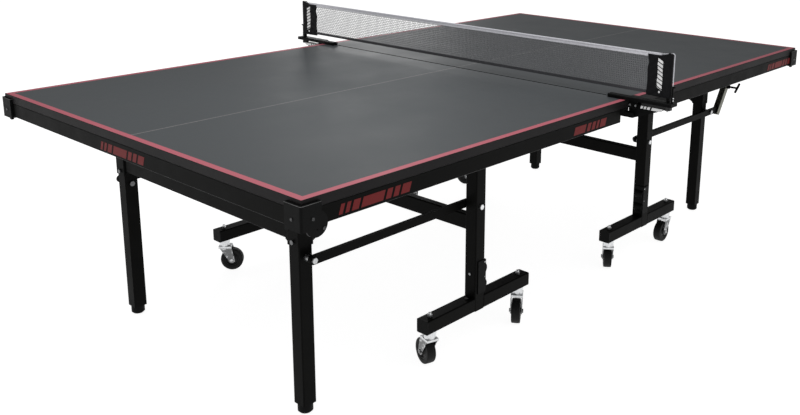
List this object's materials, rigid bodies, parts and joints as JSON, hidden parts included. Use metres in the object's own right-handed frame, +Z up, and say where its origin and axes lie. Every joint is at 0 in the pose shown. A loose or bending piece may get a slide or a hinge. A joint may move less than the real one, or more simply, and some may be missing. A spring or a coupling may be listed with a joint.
{
  "type": "ping pong table",
  "caption": "Folding ping pong table in two rolling halves, with steel aprons, end legs, T frames on castors, folding struts and a clip-on net.",
  "frame": {"origin": "on the floor, under the middle of the net", "axes": "+Z up; X along the table's length, half A at -X and half B at +X; Y across the table, along the net"},
  "size_m": [2.7592, 1.856, 0.9318],
  "materials": {
    "playing_board": "charcoal painted board, matte",
    "black_steel": "fine textured black powder coat",
    "black_plastic": "matte black moulded plastic",
    "foot_plastic": "black rubber faced foot",
    "zinc_fasteners": "bright zinc plated",
    "zinc_castor": "zinc plated pressed steel",
    "wheel_rubber": "black rubber castor wheel",
    "galvanised_stay": "galvanised steel channel",
    "black_clamp": "satin black painted clamp",
    "net_mesh": "dark woven mesh",
    "net_tape": "white woven tape, dark hem",
    "net_sleeve": "black woven sleeve",
    "white_cord": "white braided cord"
  },
  "bodies": {
    "chassis_a": {"posts_a": "black_steel", "foot_bars_a": "black_steel", "stretcher_a": "black_steel", "frame_plastics_a": "black_plastic", "frame_fasteners_a": "zinc_fasteners"},
    "board_a": {"top_a": "playing_board", "apron_a": "black_steel", "corner_caps_a": "black_plastic", "brackets_a": "black_steel", "board_fasteners_a": "zinc_fasteners", "net_clamps": "black_clamp", "net_mesh": "net_mesh", "net_tapes": "net_tape", "net_sleeves": "net_sleeve", "net_cords": "white_cord", "net_rivets": "zinc_fasteners"},
    "legs_a": {"leg_tubes_a": "black_steel", "leg_head_a": "black_steel", "leg_fasteners_a": "zinc_fasteners"},
    "strut_pair_a": {"struts_a": "black_steel"},
    "leveller_a1": {"foot_a1": "foot_plastic"},
    "leveller_a2": {"foot_a2": "foot_plastic"},
    "chassis_b": {"posts_b": "black_steel", "foot_bars_b": "black_steel", "stretcher_b": "black_steel", "frame_plastics_b": "black_plastic", "frame_fasteners_b": "zinc_fasteners"},
    "board_b": {"top_b": "playing_board", "apron_b": "black_steel", "corner_caps_b": "black_plastic", "brackets_b": "black_steel", "board_fasteners_b": "zinc_fasteners"},
    "legs_b": {"leg_tubes_b": "black_steel", "leg_head_b": "black_steel", "leg_fasteners_b": "zinc_fasteners"},
    "strut_pair_b": {"struts_b": "black_steel"},
    "leveller_b1": {"foot_b1": "foot_plastic"},
    "leveller_b2": {"foot_b2": "foot_plastic"},
    "swivel_a1": {"castor_fork_a1": "zinc_castor"},
    "wheel_a1": {"castor_wheel_a1": "wheel_rubber"},
    "swivel_a2": {"castor_fork_a2": "zinc_castor"},
    "wheel_a2": {"castor_wheel_a2": "wheel_rubber"},
    "swivel_a3": {"castor_fork_a3": "zinc_castor"},
    "wheel_a3": {"castor_wheel_a3": "wheel_rubber"},
    "swivel_a4": {"castor_fork_a4": "zinc_castor"},
    "wheel_a4": {"castor_wheel_a4": "wheel_rubber"},
    "swivel_b1": {"castor_fork_b1": "zinc_castor"},
    "wheel_b1": {"castor_wheel_b1": "wheel_rubber"},
    "swivel_b2": {"castor_fork_b2": "zinc_castor"},
    "wheel_b2": {"castor_wheel_b2": "wheel_rubber"},
    "swivel_b3": {"castor_fork_b3": "zinc_castor"},
    "wheel_b3": {"castor_wheel_b3": "wheel_rubber"},
    "swivel_b4": {"castor_fork_b4": "zinc_castor"},
    "wheel_b4": {"castor_wheel_b4": "wheel_rubber"},
    "stay": {"stay_link": "galvanised_stay"},
    "pull_handle": {"stay_handle": "black_plastic"},
    "lever_1": {"clamp_lever_1": "black_plastic"},
    "knob_1": {"tension_knob_1": "black_plastic"},
    "lever_2": {"clamp_lever_2": "black_plastic"},
    "knob_2": {"tension_knob_2": "black_plastic"}
  },
  "joints": [
    {"name": "fold_a", "type": "hinge", "parent": "chassis_a", "child": "board_a", "pos_m": [-0.508, 0, 0.7], "axis": [0, 1, 0], "range_deg": [0, 90]},
    {"name": "leg_fold_a", "type": "hinge", "parent": "board_a", "child": "legs_a", "pos_m": [-1.13, 0, 0.7], "axis": [0, 1, 0], "range_deg": [-90, 0]},
    {"name": "strut_fold_a", "type": "hinge", "parent": "chassis_a", "child": "strut_pair_a", "pos_m": [-0.508, 0, 0.468], "axis": [0, 1, 0], "range_deg": [0, 90]},
    {"name": "level_a1", "type": "hinge", "parent": "legs_a", "child": "leveller_a1", "pos_m": [-1.13, -0.45, 0], "axis": [0, 0, 1], "continuous": true},
    {"name": "level_a2", "type": "hinge", "parent": "legs_a", "child": "leveller_a2", "pos_m": [-1.13, 0.45, 0], "axis": [0, 0, 1], "continuous": true},
    {"name": "fold_b", "type": "hinge", "parent": "chassis_b", "child": "board_b", "pos_m": [0.508, 0, 0.7], "axis": [0, -1, 0], "range_deg": [0, 90]},
    {"name": "leg_fold_b", "type": "hinge", "parent": "board_b", "child": "legs_b", "pos_m": [1.13, 0, 0.7], "axis": [0, -1, 0], "range_deg": [-90, 0]},
    {"name": "strut_fold_b", "type": "hinge", "parent": "chassis_b", "child": "strut_pair_b", "pos_m": [0.508, 0, 0.468], "axis": [0, -1, 0], "range_deg": [0, 90]},
    {"name": "level_b1", "type": "hinge", "parent": "legs_b", "child": "leveller_b1", "pos_m": [1.13, -0.45, 0], "axis": [0, 0, 1], "continuous": true},
    {"name": "level_b2", "type": "hinge", "parent": "legs_b", "child": "leveller_b2", "pos_m": [1.13, 0.45, 0], "axis": [0, 0, 1], "continuous": true},
    {"name": "roll_apart", "type": "slide", "parent": "chassis_a", "child": "chassis_b", "axis": [1, 0, 0], "range_m": [0, 0.5]},
    {"name": "castor_swivel_a1", "type": "hinge", "parent": "chassis_a", "child": "swivel_a1", "pos_m": [-0.2835, -0.537, 0.1], "axis": [0, 0, 1], "continuous": true},
    {"name": "castor_roll_a1", "type": "hinge", "parent": "swivel_a1", "child": "wheel_a1", "pos_m": [-0.30506, -0.55154, 0.042], "axis": [0.5592, -0.829, 0], "continuous": true},
    {"name": "castor_swivel_a2", "type": "hinge", "parent": "chassis_a", "child": "swivel_a2", "pos_m": [-0.7145, -0.537, 0.1], "axis": [0, 0, 1], "continuous": true},
    {"name": "castor_roll_a2", "type": "hinge", "parent": "swivel_a2", "child": "wheel_a2", "pos_m": [-0.70647, -0.51227, 0.042], "axis": [-0.9511, 0.309, 0], "continuous": true},
    {"name": "castor_swivel_a3", "type": "hinge", "parent": "chassis_a", "child": "swivel_a3", "pos_m": [-0.2835, 0.537, 0.1], "axis": [0, 0, 1], "continuous": true},
    {"name": "castor_roll_a3", "type": "hinge", "parent": "swivel_a3", "child": "wheel_a3", "pos_m": [-0.30793, 0.52811, 0.042], "axis": [0.342, -0.9397, 0], "continuous": true},
    {"name": "castor_swivel_a4", "type": "hinge", "parent": "chassis_a", "child": "swivel_a4", "pos_m": [-0.7145, 0.537, 0.1], "axis": [0, 0, 1], "continuous": true},
    {"name": "castor_roll_a4", "type": "hinge", "parent": "swivel_a4", "child": "wheel_a4", "pos_m": [-0.6958, 0.51894, 0.042], "axis": [0.6947, 0.7193, 0], "continuous": true},
    {"name": "castor_swivel_b1", "type": "hinge", "parent": "chassis_b", "child": "swivel_b1", "pos_m": [0.2835, -0.537, 0.1], "axis": [0, 0, 1], "continuous": true},
    {"name": "castor_roll_b1", "type": "hinge", "parent": "swivel_b1", "child": "wheel_b1", "pos_m": [0.30453, -0.52172, 0.042], "axis": [-0.5878, 0.809, 0], "continuous": true},
    {"name": "castor_swivel_b2", "type": "hinge", "parent": "chassis_b", "child": "swivel_b2", "pos_m": [0.7145, -0.537, 0.1], "axis": [0, 0, 1], "continuous": true},
    {"name": "castor_roll_b2", "type": "hinge", "parent": "swivel_b2", "child": "wheel_b2", "pos_m": [0.68852, -0.53791, 0.042], "axis": [0.0349, -0.9994, 0], "continuous": true},
    {"name": "castor_swivel_b3", "type": "hinge", "parent": "chassis_b", "child": "swivel_b3", "pos_m": [0.2835, 0.537, 0.1], "axis": [0, 0, 1], "continuous": true},
    {"name": "castor_roll_b3", "type": "hinge", "parent": "swivel_b3", "child": "wheel_b3", "pos_m": [0.30793, 0.54589, 0.042], "axis": [-0.342, 0.9397, 0], "continuous": true},
    {"name": "castor_swivel_b4", "type": "hinge", "parent": "chassis_b", "child": "swivel_b4", "pos_m": [0.7145, 0.537, 0.1], "axis": [0, 0, 1], "continuous": true},
    {"name": "castor_roll_b4", "type": "hinge", "parent": "swivel_b4", "child": "wheel_b4", "pos_m": [0.69198, 0.55, 0.042], "axis": [-0.5, -0.866, 0], "continuous": true},
    {"name": "stay_swing", "type": "hinge", "parent": "board_b", "child": "stay", "pos_m": [1.318, -0.5, 0.648], "axis": [0, -1, 0], "range_deg": [0, 30]},
    {"name": "handle_pull", "type": "slide", "parent": "stay", "child": "pull_handle", "axis": [0, -1, 0], "range_m": [0, 0.012], "stiffness_N_per_m": 900, "springref_m": -0.004},
    {"name": "clamp_squeeze_1", "type": "hinge", "parent": "board_a", "child": "lever_1", "pos_m": [0, -0.784, 0.741], "axis": [-1, 0, 0], "range_deg": [0, 4], "stiffness_Nm_per_rad": 3, "springref_deg": -8.59},
    {"name": "knob_turn_1", "type": "hinge", "parent": "board_a", "child": "knob_1", "pos_m": [0, -0.903, 0.75], "axis": [0, 0, 1], "continuous": true},
    {"name": "clamp_squeeze_2", "type": "hinge", "parent": "board_a", "child": "lever_2", "pos_m": [0, 0.784, 0.741], "axis": [1, 0, 0], "range_deg": [0, 4], "stiffness_Nm_per_rad": 3, "springref_deg": -8.59},
    {"name": "knob_turn_2", "type": "hinge", "parent": "board_a", "child": "knob_2", "pos_m": [0, 0.903, 0.75], "axis": [0, 0, 1], "continuous": true}
  ],
  "couplings": [
    {"joint": "leg_fold_a", "follows": "fold_a", "ratio": -1},
    {"joint": "strut_fold_a", "follows": "fold_a", "ratio": 1},
    {"joint": "leg_fold_b", "follows": "fold_b", "ratio": -1},
    {"joint": "strut_fold_b", "follows": "fold_b", "ratio": 1},
    {"joint": "roll_apart", "follows": "fold_a", "m_per_rad": 0.25}
  ]
}
